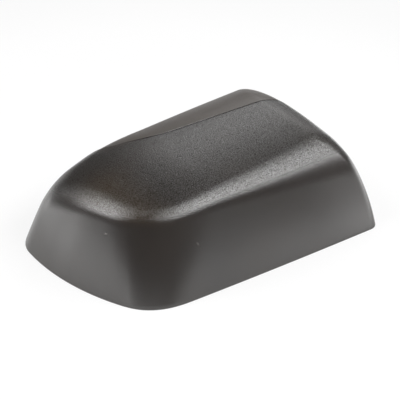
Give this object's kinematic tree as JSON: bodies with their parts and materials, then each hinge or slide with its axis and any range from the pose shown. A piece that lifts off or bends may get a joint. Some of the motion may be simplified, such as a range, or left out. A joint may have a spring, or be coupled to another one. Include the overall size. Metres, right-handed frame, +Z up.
{
  "type": "mirror base cover",
  "caption": "Moulded plastic cap with a blunt rounded nose, a flat end and a barrel roof, open below, that covers the foot of an outside mirror.",
  "frame": {"origin": "on the plane of the open rim, at the middle of the outline's box", "axes": "+X from the nose to the flat end, +Y from the long front wall to the rear, +Z up from the rim to the roof"},
  "size_m": [0.1628, 0.1347, 0.0541],
  "materials": {
    "moulding": "charcoal moulded plastic, finely grained on the roof and smoother on the walls"
  },
  "bodies": {
    "root": {"base_cover": "moulding"}
  },
  "joints": []
}
